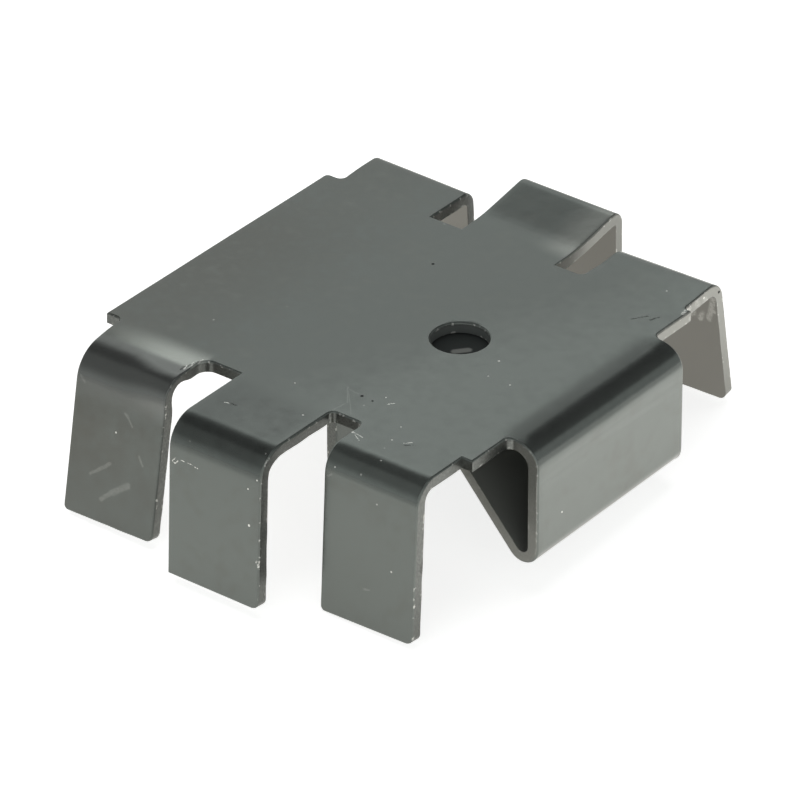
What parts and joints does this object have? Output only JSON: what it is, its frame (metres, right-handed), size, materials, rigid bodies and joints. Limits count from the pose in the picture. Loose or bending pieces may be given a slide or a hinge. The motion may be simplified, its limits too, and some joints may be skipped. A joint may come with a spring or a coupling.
{
  "type": "clip-on transistor heat sink",
  "caption": "Black anodised heat sink folded from one sheet: a flat plate with a hole, bent cooling fingers along both sides, and a spring clip turned back under the plate to grip a transistor.",
  "frame": {"origin": "axis of the hole, on the underside of the plate, where the transistor lies", "axes": "+X along the plate towards the clip, +Y along the fingers' reach, +Z out through the top of the plate"},
  "size_m": [0.0365, 0.0437, 0.0141],
  "materials": {
    "anodised": "black anodised, satin sheen, with small scratches and bare specks"
  },
  "bodies": {
    "root": {"heat_sink": "anodised"}
  },
  "joints": []
}
